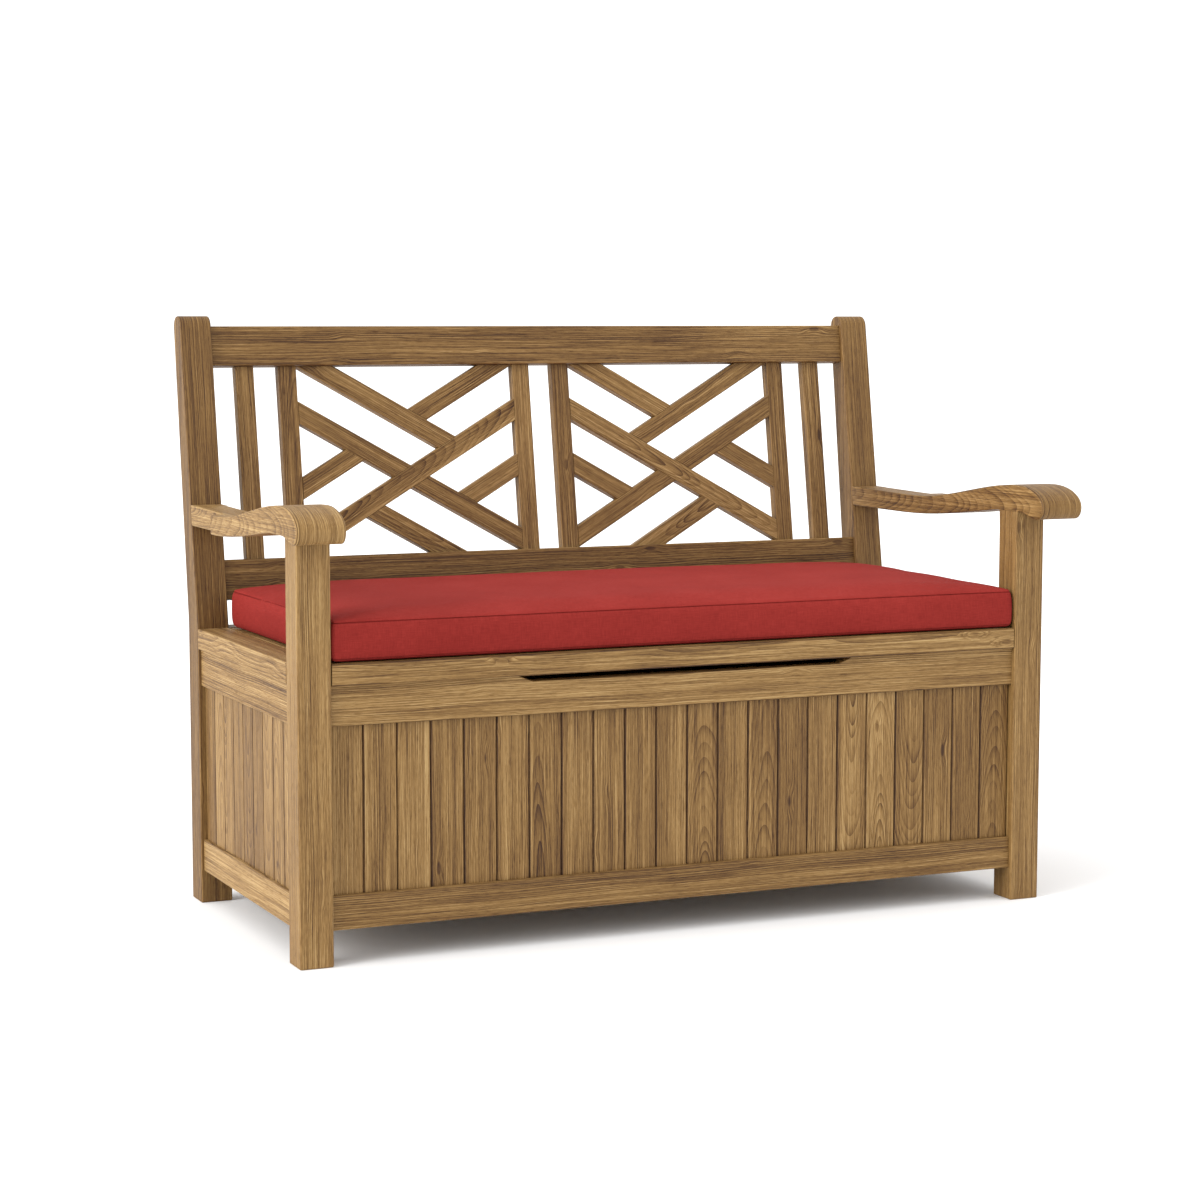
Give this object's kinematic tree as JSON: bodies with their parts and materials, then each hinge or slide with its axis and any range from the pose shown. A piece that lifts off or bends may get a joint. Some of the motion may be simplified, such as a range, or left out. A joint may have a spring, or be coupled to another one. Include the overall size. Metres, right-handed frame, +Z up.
{
  "type": "garden storage bench",
  "caption": "Garden bench over a boarded storage box: hinged seat lid with a loose cushion, scrolled arms and a raked lattice back.",
  "frame": {"origin": "on the floor, in the middle of the bench's outer box seen from above", "axes": "+X to the right seen from the front, +Y to the back, +Z up"},
  "size_m": [1.316, 0.7126, 0.952],
  "materials": {
    "teak": "oiled teak, long grain, fine open pores",
    "teak_inside": "unoiled sawn teak boards",
    "hinge_brass": "satin brass",
    "cushion_fabric": "plain woven outdoor fabric over foam"
  },
  "bodies": {
    "bench": {"armrest_left": "teak", "armrest_right": "teak", "back_bottom_rail": "teak", "back_slat_1": "teak", "back_slat_2": "teak", "back_slat_3": "teak", "back_slat_4": "teak", "back_slat_5": "teak", "back_slat_6": "teak", "back_top_rail": "teak", "box_floor": "teak_inside", "front_apron": "teak", "front_boards": "teak", "front_bottom_rail": "teak", "front_leg_left": "teak", "front_leg_right": "teak", "hinge_frame_leaf_left": "hinge_brass", "hinge_frame_leaf_right": "hinge_brass", "hinge_pin_left": "hinge_brass", "hinge_pin_right": "hinge_brass", "lattice_long_falling_left": "teak", "lattice_long_falling_right": "teak", "lattice_long_rising_left": "teak", "lattice_long_rising_right": "teak", "lattice_lower_falling_left": "teak", "lattice_lower_falling_right": "teak", "lattice_lower_rising_left": "teak", "lattice_lower_rising_right": "teak", "lattice_outer_rising_left": "teak", "lattice_outer_rising_right": "teak", "lattice_upper_falling_left": "teak", "lattice_upper_falling_right": "teak", "lattice_upper_rising_left": "teak", "lattice_upper_rising_right": "teak", "rear_apron": "teak", "rear_boards": "teak", "rear_bottom_rail": "teak", "rear_post_left": "teak", "rear_post_right": "teak", "rear_seat_rail": "teak", "seat_side_rail_left": "teak", "seat_side_rail_right": "teak", "side_apron_left": "teak", "side_apron_right": "teak", "side_boards_left": "teak", "side_boards_right": "teak", "side_bottom_rail_left": "teak", "side_bottom_rail_right": "teak"},
    "lid": {"hinge_lid_leaf_left": "hinge_brass", "hinge_lid_leaf_right": "hinge_brass", "lid_end_left": "teak", "lid_end_right": "teak", "lid_front_rail": "teak", "lid_middle_batten": "teak", "lid_rear_rail": "teak", "lid_slat_1": "teak", "lid_slat_2": "teak", "lid_slat_3": "teak", "lid_slat_4": "teak", "seat_cushion": "cushion_fabric"}
  },
  "joints": [
    {"name": "lid_hinge", "type": "hinge", "parent": "bench", "child": "lid", "pos_m": [0, 0.23649, 0.446], "axis": [-1, 0, 0], "range_deg": [0, 80], "deforming": ["seat_cushion"]}
  ]
}
